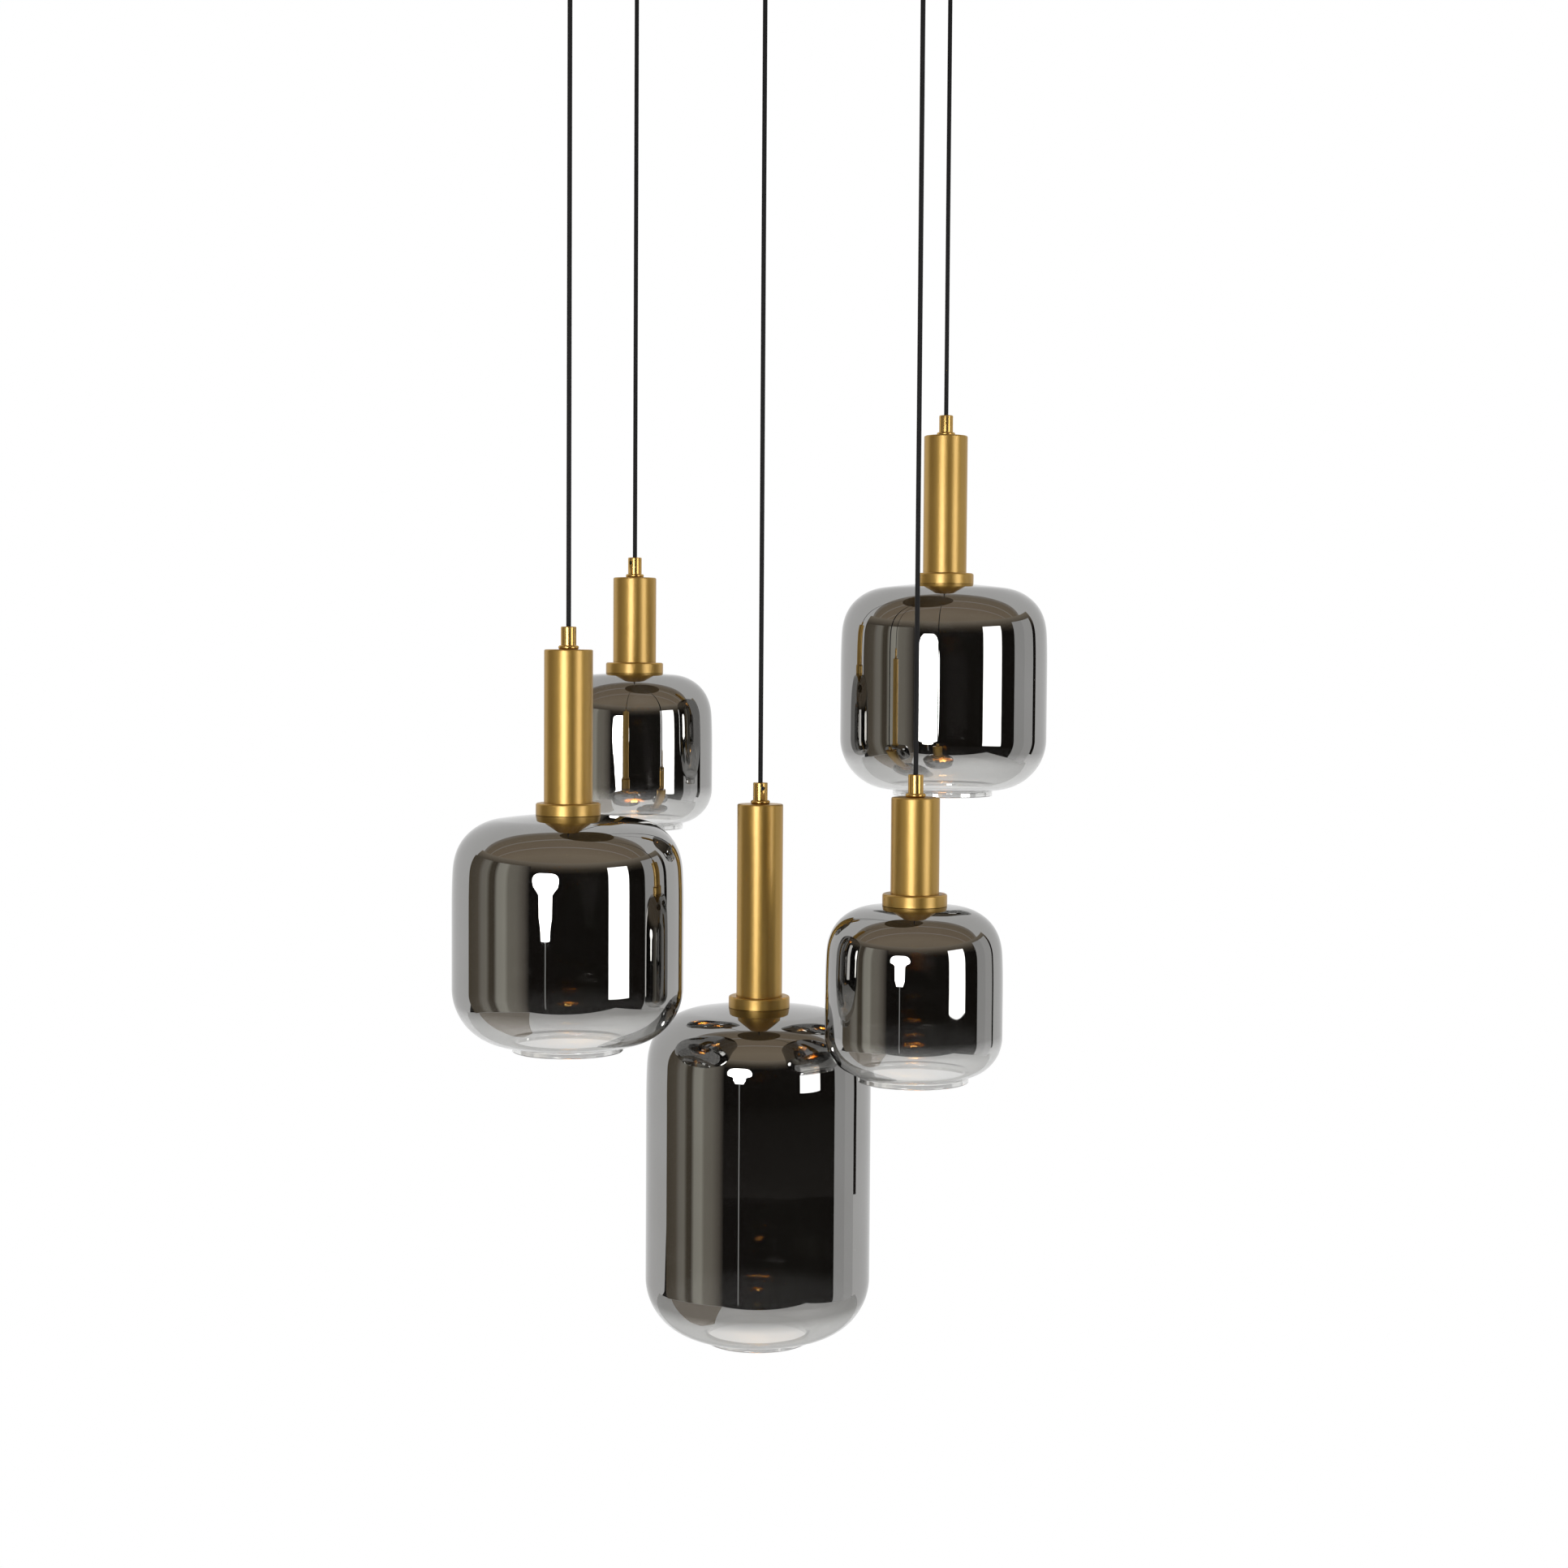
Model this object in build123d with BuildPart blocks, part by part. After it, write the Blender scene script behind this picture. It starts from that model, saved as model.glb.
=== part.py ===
import os
from math import atan2, cos, degrees, pi, radians, sin, sqrt

from build123d import *

# Cluster pendant: five mirrored glass shades on black cords, hung from one round brass canopy.
# Millimetres, +Z up. The ceiling is the plane Z = 0 and the origin is the centre of the bracket's
# bolt circle, so the whole object hangs below it. The viewer stands on the -Y side.

# Cord and its small clearances
cord_diameter = 4.5
cord_clearance = 0.15  # gap round a cord in a bore
thread_clearance = 0.02  # gap between two threads, drawn as plain cylinders
slip_clearance = 0.1  # gap between rings and the tube they slide on
rest_gap = 0.3  # gap where a moving piece sits next to a fixed one

# Brass cord grip, used on each tube and, upside down, below the canopy
grip_diameter = 14.2
grip_height = 17.3
grip_edge = 0.8
bead_diameter = 18.8  # rounded ring at the foot of the grip
bead_height = 3.7
bead_edge = 1.6
grub_diameter = 4.0
grub_length = 3.2
grub_depth = 5.6  # from the top of the grip to the middle of the screw
stem_seat = 6.0  # thread length of the stem inside the grip and inside the lampholder

# Tube, stem and collar
tube_diameter = 45.0
tube_wall = 1.2
tube_cap = 2.0  # thickness of the closed top
tube_edge = 1.5
stem_diameter = 10.0
stem_bore = 7.0
collar_diameter = 60.0
collar_height = 11.5
collar_edge = 2.0

# Glass, shared by all shades
glass_wall = 2.6
dome_radius = 450.0  # the top of each shade is slightly domed
land_width = 1.0  # flat ground ring of glass that shows round the collar
mouth_diameter = 103.0  # outside of the open lip
lip_height = 4.0  # straight part of the lip
throat_radius = 2.5  # hollow curve between the base and the lip
lip_edge = 0.8

# Ring that clamps the glass from inside, screwed on the tube's lower end
ring_height = 6.0
tube_tail = 1.0  # thread that shows below the ring

# Lampholder and push-in lamp
holder_diameter = 22.0
holder_height = 24.0
holder_flange = 2.0
pin_diameter = 1.6
pin_pitch = 9.0
pin_length = 9.0
pin_clearance = 0.1
lamp_base_diameter = 14.4
lamp_base_height = 6.0
lamp_diameter = 16.0
lamp_height = 46.0  # below the lampholder, base included
lamp_tip = 2.0  # how far the lamp reaches below the glass's top
lamp_tip_flat = 0.1  # radius left flat at the very tip

# Canopy, bracket and what they hold
canopy_depth = 42.0
canopy_wall = 1.2
canopy_edge = 5.0
canopy_margin = 21.0  # from the outermost cord to the canopy's side
gland_height = 13.3  # plain part of the grip that points down from the canopy
gland_throat = 9.0  # the cord pivots this far above the gland's mouth
gland_flare = 1.4  # widening of the bore from the pivot to the mouth
gland_grub_lift = 2.2  # from the pivot up to the gland's grub screw
gland_grub_radius = 1.5
spigot_length = 9.2  # thread of the gland inside the canopy
nut_across_flats = 14.0
nut_height = 4.0
bracket_width = 24.0
bracket_thickness = 3.0
bracket_ear = 26.0
bolt_circle = 240.0
bolt_hole = 5.5
cable_hole = 20.0
side_screw_diameter = 4.0
side_screw_length = 9.0
side_screw_head = 8.0
side_screw_head_height = 2.4
side_screw_level = 15.0  # below the ceiling
side_screw_clearance = 0.1
screw_slot = 0.9  # width and depth of a screwdriver slot

# Terminal block below the bracket, and the leads that run to it
block_length = 62.0
block_depth = 22.0
block_height = 18.0
block_centre = 70.0  # from the middle of the canopy, towards +Y
block_edge = 1.5
terminal_pitch = 20.0
terminal_diameter = 6.0
terminal_length = 5.0
terminal_recess = 1.0
lead_level = 14.0  # below the ceiling, for the level run of each lead
lead_seat = 4.0  # how far a lead goes into the block
lead_approach = 36.0  # straight run of a lead in front of the block
lead_bend_share = 0.45  # share of the shorter run that a bend takes
earth_screw_offset = 45.0
earth_screw_diameter = 5.0
earth_screw_head = 9.0
earth_screw_head_height = 3.0
earth_screw_length = 6.0

# Each shade: radius of its side, height from the collar's seat to the lip, radius of its shoulder,
# and base_tuck, how far the base's arc is centred inside the throat's.
shade_kinds = {
    "broad": {"tube": 141.5, "girth": 107.0, "height": 219.0, "shoulder": 49.0, "base_tuck": 0.0},
    "small": {"tube": 89.0, "girth": 82.2, "height": 163.0, "shoulder": 44.0, "base_tuck": 8.5},
    "tall": {"tube": 189.0, "girth": 110.8, "height": 331.0, "shoulder": 52.0, "base_tuck": 0.0},
}

# Each cord: its distance and bearing from the middle of the canopy, the drop from the canopy's
# underside to the grip, its shade, the bearing of the grip's screw, and where its lead meets the
# terminal block: which side (-1 front, 1 back) and which place along it.
drops = {
    "front_left": {
        "reach": 223.9, "bearing": 218.1, "drop": 705.0, "kind": "broad",
        "grub_bearing": 150.0, "side": -1, "place": -1.0,
    },
    "front_right": {
        "reach": 203.4, "bearing": 315.3, "drop": 839.0, "kind": "small",
        "grub_bearing": 30.0, "side": -1, "place": 1.0,
    },
    "back_left": {
        "reach": 226.6, "bearing": 126.6, "drop": 628.0, "kind": "small",
        "grub_bearing": 234.0, "side": 1, "place": -0.5,
    },
    "back_right": {
        "reach": 238.8, "bearing": 38.0, "drop": 481.0, "kind": "broad",
        "grub_bearing": 60.0, "side": 1, "place": 0.5,
    },
    "centre": {
        "reach": 0.0, "bearing": 0.0, "drop": 854.5, "kind": "tall",
        "grub_bearing": 291.0, "side": -1, "place": 0.0,
    },
}

# Worked out from the sizes above
cord_radius = cord_diameter / 2
cord_bore = cord_radius + cord_clearance
grip_radius = grip_diameter / 2
grub_radius = grub_diameter / 2
grub_hole = grub_radius + thread_clearance
grub_seat = cord_radius + cord_clearance / 2  # the grub screw's tip stops at the cord
stem_radius = stem_diameter / 2
stem_hole = stem_radius + thread_clearance
tube_radius = tube_diameter / 2
tube_bore = tube_radius - tube_wall
sleeve_radius = tube_radius + slip_clearance  # inside of the collar, the glass's hole and the ring
collar_radius = collar_diameter / 2
land_radius = collar_radius + land_width
mouth_radius = mouth_diameter / 2
throat_centre = mouth_radius + throat_radius
tube_below_seat = glass_wall + ring_height + tube_tail
canopy_radius = max(drop["reach"] for drop in drops.values()) + canopy_margin
canopy_floor = canopy_wall - canopy_depth
gland_mouth = -canopy_depth - bead_height - gland_height
pivot_level = gland_mouth + gland_throat
ear_face = sqrt((canopy_radius - canopy_wall - rest_gap) ** 2 - (bracket_width / 2) ** 2)
cut = 1.0  # how far a cutting shape runs past what it cuts


def place_of(drop):
    """The drop's axis, seen from above."""
    angle = radians(drop["bearing"])
    return (drop["reach"] * cos(angle), drop["reach"] * sin(angle))


def upright(spot, level):
    """A drawing plane through a vertical axis: across is the radius, up is the height."""
    return Plane(origin=(spot[0], spot[1], level), x_dir=(1, 0, 0), z_dir=(0, -1, 0))


def level_plane(spot, level):
    """A horizontal plane at a height, centred on a drop's axis."""
    return Plane(origin=(spot[0], spot[1], level), x_dir=(1, 0, 0), z_dir=(0, 0, 1))


def radial_plane(spot, level, bearing):
    """A plane that faces outwards from a vertical axis, for holes in the side of a grip."""
    angle = radians(bearing)
    out = (cos(angle), sin(angle), 0)
    return Plane(origin=(spot[0], spot[1], level), x_dir=(0, 0, 1), z_dir=out)


def save(part, name):
    part.label = name
    export_step(part, f"parts/{name}.step")


def save_group(solids, name):
    """Writes equal pieces as one node of separate solids."""
    save(Compound(label=name, children=solids), name)


# Canopy group: everything that stays with the ceiling
def make_bracket():
    half_hole = bolt_hole / 2
    with BuildPart() as bracket:
        with BuildSketch(Plane.XY.offset(-bracket_thickness)):
            Rectangle(2 * ear_face, bracket_width)
            Rectangle(bracket_width, 2 * ear_face)
        extrude(amount=bracket_thickness)
        with BuildSketch(Plane.XY.offset(-bracket_ear)):
            with PolarLocations(ear_face - bracket_thickness / 2, 4):
                Rectangle(bracket_thickness, bracket_width)
        extrude(amount=bracket_ear)
        with BuildSketch(Plane.XY):
            Circle(cable_hole / 2)
            with PolarLocations(bolt_circle / 2, 4):
                Circle(half_hole)
            with Locations((earth_screw_offset, 0)):
                Circle(earth_screw_diameter / 2 + thread_clearance)
        extrude(amount=-bracket_thickness - cut, mode=Mode.SUBTRACT)
        for turn in range(4):
            with BuildSketch(radial_plane((0, 0), -side_screw_level, 90 * turn)):
                Circle(side_screw_diameter / 2 + thread_clearance)
            extrude(amount=canopy_radius, mode=Mode.SUBTRACT)
    save(bracket.part, "ceiling_bracket")


def make_canopy():
    with BuildPart() as canopy:
        with BuildSketch(Plane.XY.offset(-canopy_depth)):
            Circle(canopy_radius)
        extrude(amount=canopy_depth)
        fillet(canopy.edges().sort_by(Axis.Z)[0], radius=canopy_edge)
        offset(amount=-canopy_wall, openings=canopy.faces().sort_by(Axis.Z)[-1])
        with BuildSketch(Plane.XY.offset(-canopy_depth)):
            with Locations(*[place_of(drop) for drop in drops.values()]):
                Circle(stem_hole)
        extrude(amount=canopy_wall + cut, mode=Mode.SUBTRACT)
        for turn in range(4):
            with BuildSketch(radial_plane((0, 0), -side_screw_level, 90 * turn)):
                Circle(side_screw_diameter / 2 + side_screw_clearance)
            extrude(amount=canopy_radius + cut, mode=Mode.SUBTRACT)
    save(canopy.part, "canopy")


def make_side_screws():
    head_seat = canopy_radius + slip_clearance
    solids = []
    for turn in range(4):
        plane = radial_plane((0, 0), -side_screw_level, 90 * turn)
        with BuildPart() as screw:
            with BuildSketch(plane.offset(head_seat - side_screw_length)):
                Circle(side_screw_diameter / 2)
            extrude(amount=side_screw_length)
            with BuildSketch(plane.offset(head_seat)):
                Circle(side_screw_head / 2)
            extrude(amount=side_screw_head_height)
            fillet(outer_edge(screw, plane), radius=screw_slot)
            with BuildSketch(plane.offset(head_seat + side_screw_head_height - screw_slot)):
                Rectangle(side_screw_head + cut, screw_slot)
            extrude(amount=screw_slot + cut, mode=Mode.SUBTRACT)
        solids.append(screw.part.solid())
    save_group(solids, "side_screws")


def outer_edge(builder, plane):
    """The round edge that lies furthest along a plane's normal."""
    return builder.edges().filter_by(GeomType.CIRCLE).sort_by(Axis(plane.origin, plane.z_dir))[-1]


def make_glands():
    solids = []
    for drop in drops.values():
        spot = place_of(drop)
        with BuildPart() as gland:
            with BuildSketch(level_plane(spot, gland_mouth)):
                Circle(grip_radius)
            extrude(amount=gland_height)
            fillet(gland.edges().sort_by(Axis.Z)[0], radius=grip_edge)
            with BuildSketch(level_plane(spot, -canopy_depth)):
                Circle(bead_diameter / 2)
            extrude(amount=-bead_height)
            fillet(bead_edges(gland), radius=bead_edge)
            with BuildSketch(level_plane(spot, -canopy_depth)):
                Circle(stem_radius)
            extrude(amount=spigot_length)
            with BuildSketch(upright(spot, 0)):
                with BuildLine():
                    Polyline(
                        (0, gland_mouth - cut),
                        (cord_bore + gland_flare, gland_mouth - cut),
                        (cord_bore + gland_flare, gland_mouth),
                        (cord_bore, pivot_level),
                        (cord_bore, spigot_length),
                        (0, spigot_length),
                        close=True,
                    )
                make_face()
            revolve(axis=Axis((spot[0], spot[1], 0), (0, 0, 1)), mode=Mode.SUBTRACT)
            with BuildSketch(radial_plane(spot, pivot_level + gland_grub_lift, drop["grub_bearing"])):
                Circle(gland_grub_radius)
            extrude(amount=bead_diameter, mode=Mode.SUBTRACT)
        solids.append(gland.part.solid())
    save_group(solids, "canopy_glands")


def bead_edges(builder):
    """The two outer round edges of the bead at the foot of a grip."""
    circles = builder.edges().filter_by(GeomType.CIRCLE)
    return [edge for edge in circles if abs(edge.radius - bead_diameter / 2) < thread_clearance]


def make_gland_screws():
    solids = []
    for drop in drops.values():
        plane = radial_plane(place_of(drop), pivot_level + gland_grub_lift, drop["grub_bearing"])
        with BuildPart() as screw:
            with BuildSketch(plane.offset(grub_seat)):
                Circle(gland_grub_radius - thread_clearance)
            extrude(amount=grub_length)
        solids.append(screw.part.solid())
    save_group(solids, "gland_screws")


def make_gland_nuts():
    solids = []
    for drop in drops.values():
        with BuildPart() as nut:
            with BuildSketch(level_plane(place_of(drop), canopy_floor)):
                RegularPolygon(nut_across_flats / 2, 6, major_radius=False)
                Circle(stem_hole, mode=Mode.SUBTRACT)
            extrude(amount=nut_height)
        solids.append(nut.part.solid())
    save_group(solids, "gland_nuts")


def make_terminal_block():
    with BuildPart() as block:
        with BuildSketch(Plane.XY.offset(-bracket_thickness)):
            with Locations((0, block_centre)):
                RectangleRounded(block_length, block_depth, block_edge)
        extrude(amount=-block_height)
        with BuildSketch(Plane.XY.offset(-bracket_thickness - block_height)):
            with Locations((0, block_centre)):
                with GridLocations(terminal_pitch, 0, 3, 1):
                    Circle(terminal_diameter / 2)
        extrude(amount=terminal_length + terminal_recess, mode=Mode.SUBTRACT)
        for drop in drops.values():
            side = drop["side"]
            entry = Plane(
                origin=(drop["place"] * terminal_pitch, block_centre + side * block_depth / 2, -lead_level),
                x_dir=(1, 0, 0),
                z_dir=(0, side, 0),
            )
            with BuildSketch(entry):
                Circle(cord_bore)
            extrude(amount=-lead_seat, mode=Mode.SUBTRACT)
    save(block.part, "terminal_block")


def make_terminal_screws():
    solids = []
    foot = -bracket_thickness - block_height + terminal_recess
    for step in (-1, 0, 1):
        spot = (step * terminal_pitch, block_centre)
        with BuildPart() as screw:
            with BuildSketch(level_plane(spot, foot)):
                Circle(terminal_diameter / 2 - thread_clearance)
            extrude(amount=terminal_length)
            with BuildSketch(level_plane(spot, foot)):
                Rectangle(terminal_diameter, screw_slot)
            extrude(amount=screw_slot, mode=Mode.SUBTRACT)
        solids.append(screw.part.solid())
    save_group(solids, "terminal_screws")


def make_earth_screw():
    spot = (earth_screw_offset, 0)
    with BuildPart() as screw:
        with BuildSketch(level_plane(spot, -earth_screw_length)):
            Circle(earth_screw_diameter / 2)
        extrude(amount=earth_screw_length)
        with BuildSketch(level_plane(spot, -bracket_thickness)):
            Circle(earth_screw_head / 2)
        extrude(amount=-earth_screw_head_height)
        with BuildSketch(level_plane(spot, -bracket_thickness - earth_screw_head_height)):
            Rectangle(earth_screw_head + cut, screw_slot)
        extrude(amount=screw_slot, mode=Mode.SUBTRACT)
    save(screw.part, "earth_screw")


def lead_route(drop):
    """From the pivot straight up, level towards the block, and square into its side."""
    x, y = place_of(drop)
    entry_x = drop["place"] * terminal_pitch
    face_y = block_centre + drop["side"] * block_depth / 2
    start = Vector(x, y, pivot_level)
    top = Vector(x, y, -lead_level)
    end = Vector(entry_x, face_y - drop["side"] * lead_seat, -lead_level)
    if drop["reach"] < block_centre / 2:
        return [start, top, end]
    turn = Vector(entry_x, face_y + drop["side"] * lead_approach, -lead_level)
    return [start, top, turn, end]


def bend_radii(route):
    """Largest arc that each corner's two runs leave room for."""
    radii = []
    for before, corner, after in zip(route, route[1:], route[2:]):
        half_turn = radians((corner - before).get_angle(after - corner)) / 2
        shorter = min((corner - before).length, (after - corner).length)
        radii.append(lead_bend_share * shorter * cos(half_turn) / sin(half_turn))
    return radii


def make_leads():
    solids = []
    for name, drop in drops.items():
        route = lead_route(drop)
        radii = bend_radii(route)
        with BuildPart() as lead:
            with BuildLine() as path:
                FilletPolyline(*route, radius=radii)
            with BuildSketch(Plane(origin=route[0], z_dir=(0, 0, 1))):
                Circle(cord_radius)
            sweep(path=path.wires()[0])
        expected = path.wires()[0].length * pi * cord_radius**2
        bends = [round(radius, 1) for radius in radii]
        print(name, "lead bends", bends, "volume ratio", round(lead.part.volume / expected, 4))
        solids.append(lead.part.solid())
    save_group(solids, "inner_leads")


# One drop: a cord with its grip, tube, collar, shade and lamp
def levels_of(drop):
    """Heights of the pieces of one drop, from the canopy's underside down."""
    kind = shade_kinds[drop["kind"]]
    grip_top = -canopy_depth - drop["drop"]
    tube_top = grip_top - grip_height - bead_height
    collar_top = tube_top - kind["tube"]
    seat = collar_top - collar_height
    holder_foot = seat - lamp_tip + lamp_height + rest_gap
    return {
        "grip_top": grip_top,
        "tube_top": tube_top,
        "seat": seat,
        "holder_foot": holder_foot,
        "holder_top": holder_foot + holder_height,
    }


def make_cord(name, spot, levels):
    top = pivot_level - rest_gap
    foot = levels["holder_top"] - stem_seat
    with BuildPart() as cord:
        with BuildSketch(level_plane(spot, foot)):
            Circle(cord_radius)
        extrude(amount=top - foot)
    free = gland_mouth - levels["grip_top"]
    print(name, "cord length", round(top - foot, 1), "of which hangs free", round(free, 1))
    save(cord.part, f"cord_{name}")


def make_grip(name, spot, levels, bearing):
    foot = levels["tube_top"]
    with BuildPart() as grip:
        with BuildSketch(level_plane(spot, foot)):
            Circle(grip_radius)
        extrude(amount=bead_height + grip_height)
        fillet(grip.edges().sort_by(Axis.Z)[-1], radius=grip_edge)
        with BuildSketch(level_plane(spot, foot)):
            Circle(bead_diameter / 2)
        extrude(amount=bead_height)
        fillet(bead_edges(grip), radius=bead_edge)
        with BuildSketch(level_plane(spot, foot)):
            Circle(cord_bore)
        extrude(amount=bead_height + grip_height, mode=Mode.SUBTRACT)
        with BuildSketch(level_plane(spot, foot)):
            Circle(stem_hole)
        extrude(amount=stem_seat, mode=Mode.SUBTRACT)
        with BuildSketch(radial_plane(spot, levels["grip_top"] - grub_depth, bearing)):
            Circle(grub_hole)
        extrude(amount=bead_diameter, mode=Mode.SUBTRACT)
    save(grip.part, f"cord_grip_{name}")


def make_grub(name, spot, levels, bearing):
    plane = radial_plane(spot, levels["grip_top"] - grub_depth, bearing)
    with BuildPart() as grub:
        with BuildSketch(plane.offset(grub_seat)):
            Circle(grub_radius)
        extrude(amount=grub_length)
        with BuildSketch(plane.offset(grub_seat + grub_length)):
            RegularPolygon(grub_radius / 2, 6)
        extrude(amount=-grub_length / 2, mode=Mode.SUBTRACT)
    save(grub.part, f"grip_screw_{name}")


def make_tube(name, spot, levels):
    foot = levels["seat"] - tube_below_seat
    height = levels["tube_top"] - foot
    with BuildPart() as tube:
        with BuildSketch(level_plane(spot, foot)):
            Circle(tube_radius)
        extrude(amount=height)
        fillet(tube.edges().sort_by(Axis.Z)[-1], radius=tube_edge)
        with BuildSketch(level_plane(spot, foot)):
            Circle(tube_bore)
        extrude(amount=height - tube_cap, mode=Mode.SUBTRACT)
        with BuildSketch(level_plane(spot, levels["tube_top"])):
            Circle(stem_hole)
        extrude(amount=-tube_cap - cut, mode=Mode.SUBTRACT)
    save(tube.part, f"tube_{name}")


def make_stem(name, spot, levels):
    foot = levels["holder_top"] - stem_seat
    with BuildPart() as stem:
        with BuildSketch(level_plane(spot, foot)):
            Circle(stem_radius)
            Circle(stem_bore / 2, mode=Mode.SUBTRACT)
        extrude(amount=levels["tube_top"] + stem_seat - foot)
    save(stem.part, f"stem_{name}")


def make_holder(name, spot, levels):
    with BuildPart() as holder:
        with BuildSketch(level_plane(spot, levels["holder_foot"])):
            Circle(holder_diameter / 2)
        extrude(amount=holder_height)
        fillet(holder.edges().sort_by(Axis.Z)[0], radius=pin_diameter)
        with BuildSketch(level_plane(spot, levels["holder_top"])):
            Circle(tube_bore - rest_gap)
        extrude(amount=-holder_flange)
        with BuildSketch(level_plane(spot, levels["holder_top"])):
            Circle(stem_hole)
        extrude(amount=-stem_seat, mode=Mode.SUBTRACT)
        with BuildSketch(level_plane(spot, levels["holder_foot"])):
            with GridLocations(pin_pitch, 0, 2, 1):
                Circle(pin_diameter / 2 + pin_clearance)
        extrude(amount=pin_length + cut, mode=Mode.SUBTRACT)
    save(holder.part, f"lampholder_{name}")


def make_lamp(name, spot, levels):
    top = levels["holder_foot"] - rest_gap
    with BuildPart() as lamp:
        with BuildSketch(level_plane(spot, top)):
            Circle(lamp_base_diameter / 2)
        extrude(amount=-lamp_base_height)
        with BuildSketch(level_plane(spot, top - lamp_base_height)):
            Circle(lamp_diameter / 2)
        extrude(amount=lamp_base_height - lamp_height)
        fillet(lamp.edges().sort_by(Axis.Z)[0], radius=lamp_diameter / 2 - lamp_tip_flat)
        with BuildSketch(level_plane(spot, top)):
            with GridLocations(pin_pitch, 0, 2, 1):
                Circle(pin_diameter / 2)
        extrude(amount=pin_length)
    save(lamp.part, f"lamp_{name}")


def make_collar(name, spot, levels):
    with BuildPart() as collar:
        with BuildSketch(level_plane(spot, levels["seat"])):
            Circle(collar_radius)
            Circle(sleeve_radius, mode=Mode.SUBTRACT)
        extrude(amount=collar_height)
        top_edges = collar.edges().group_by(Axis.Z)[-1].filter_by(GeomType.CIRCLE)
        fillet(top_edges.sort_by(SortBy.RADIUS)[-1], radius=collar_edge)
    save(collar.part, f"collar_{name}")


def make_ring(name, spot, levels):
    with BuildPart() as ring:
        with BuildSketch(level_plane(spot, levels["seat"] - glass_wall)):
            Circle(collar_radius)
            Circle(sleeve_radius, mode=Mode.SUBTRACT)
        extrude(amount=-ring_height)
        foot_edges = ring.edges().group_by(Axis.Z)[0].filter_by(GeomType.CIRCLE)
        chamfer(foot_edges.sort_by(SortBy.RADIUS)[-1], length=lip_edge)
    save(ring.part, f"shade_ring_{name}")


def shade_outline(kind, inset, foot):
    """Half outline of a shade from its axis out and back: flat land, dome, shoulder, side, base,
    hollow throat and lip. inset is 0 for the outside and the wall for the inside."""
    girth = kind["girth"] - inset
    dome = dome_radius - inset
    shoulder = kind["shoulder"] - inset
    base = kind["girth"] - throat_centre + kind["base_tuck"] - inset
    throat = throat_radius + inset
    dome_height = -sqrt(dome_radius**2 - land_radius**2)
    shoulder_rise = sqrt((dome - shoulder) ** 2 - (girth - shoulder) ** 2)
    shoulder_centre = (girth - shoulder, dome_height + shoulder_rise)
    base_span = sqrt((base + throat) ** 2 - kind["base_tuck"] ** 2)
    throat_level = lip_height - kind["height"]
    base_centre = (girth - base, throat_level + base_span)
    start_angle = degrees(atan2(-inset - dome_height, land_radius))
    tangent_angle = degrees(atan2(shoulder_centre[1] - dome_height, shoulder_centre[0]))
    base_angle = degrees(atan2(throat_level - base_centre[1], throat_centre - base_centre[0]))
    with BuildLine() as outline:
        land = Line((0, -inset), (land_radius, -inset))
        dome_start = (dome * cos(radians(start_angle)), dome_height + dome * sin(radians(start_angle)))
        if inset:
            land = Line(land @ 1, dome_start)
        cap = CenterArc((0, dome_height), dome, start_angle, tangent_angle - start_angle)
        turn = CenterArc(shoulder_centre, shoulder, tangent_angle, -tangent_angle)
        side = Line(turn @ 1, (girth, base_centre[1]))
        bowl = CenterArc(base_centre, base, 0, base_angle)
        hollow = CenterArc((throat_centre, throat_level), throat, 180 + base_angle, -base_angle)
        Polyline(hollow @ 1, ((hollow @ 1).X, foot), (0, foot), (0, -inset))
    return outline


def make_shade(name, spot, levels, kind):
    seat = levels["seat"]
    axis = Axis((spot[0], spot[1], seat), (0, 0, 1))
    outside = shade_outline(kind, 0, -kind["height"])
    inside = shade_outline(kind, glass_wall, -kind["height"] - cut)
    with BuildPart() as shade:
        with BuildSketch(upright(spot, seat)):
            with BuildLine():
                add(outside.line)
            make_face()
        revolve(axis=axis)
        with BuildSketch(upright(spot, seat)):
            with BuildLine():
                add(inside.line)
            make_face()
        revolve(axis=axis, mode=Mode.SUBTRACT)
        with BuildSketch(level_plane(spot, seat)):
            Circle(sleeve_radius + slip_clearance)
        extrude(amount=-glass_wall - cut, mode=Mode.SUBTRACT)
        fillet(shade.edges().group_by(Axis.Z)[0], radius=lip_edge)
    save(shade.part, f"shade_{name}")


def make_drop(name, drop):
    spot = place_of(drop)
    levels = levels_of(drop)
    make_cord(name, spot, levels)
    make_grip(name, spot, levels, drop["grub_bearing"])
    make_grub(name, spot, levels, drop["grub_bearing"])
    make_tube(name, spot, levels)
    make_stem(name, spot, levels)
    make_holder(name, spot, levels)
    make_lamp(name, spot, levels)
    make_collar(name, spot, levels)
    make_ring(name, spot, levels)
    make_shade(name, spot, levels, shade_kinds[drop["kind"]])


os.makedirs("parts", exist_ok=True)
make_bracket()
make_canopy()
make_side_screws()
make_glands()
make_gland_screws()
make_gland_nuts()
make_terminal_block()
make_terminal_screws()
make_earth_screw()
make_leads()
for drop_name, drop_sizes in drops.items():
    make_drop(drop_name, drop_sizes)
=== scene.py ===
from math import atan2, cos, degrees, pi, radians, sin, sqrt

import bmesh
import bpy
import numpy as np
from mathutils import Matrix, Vector


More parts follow.
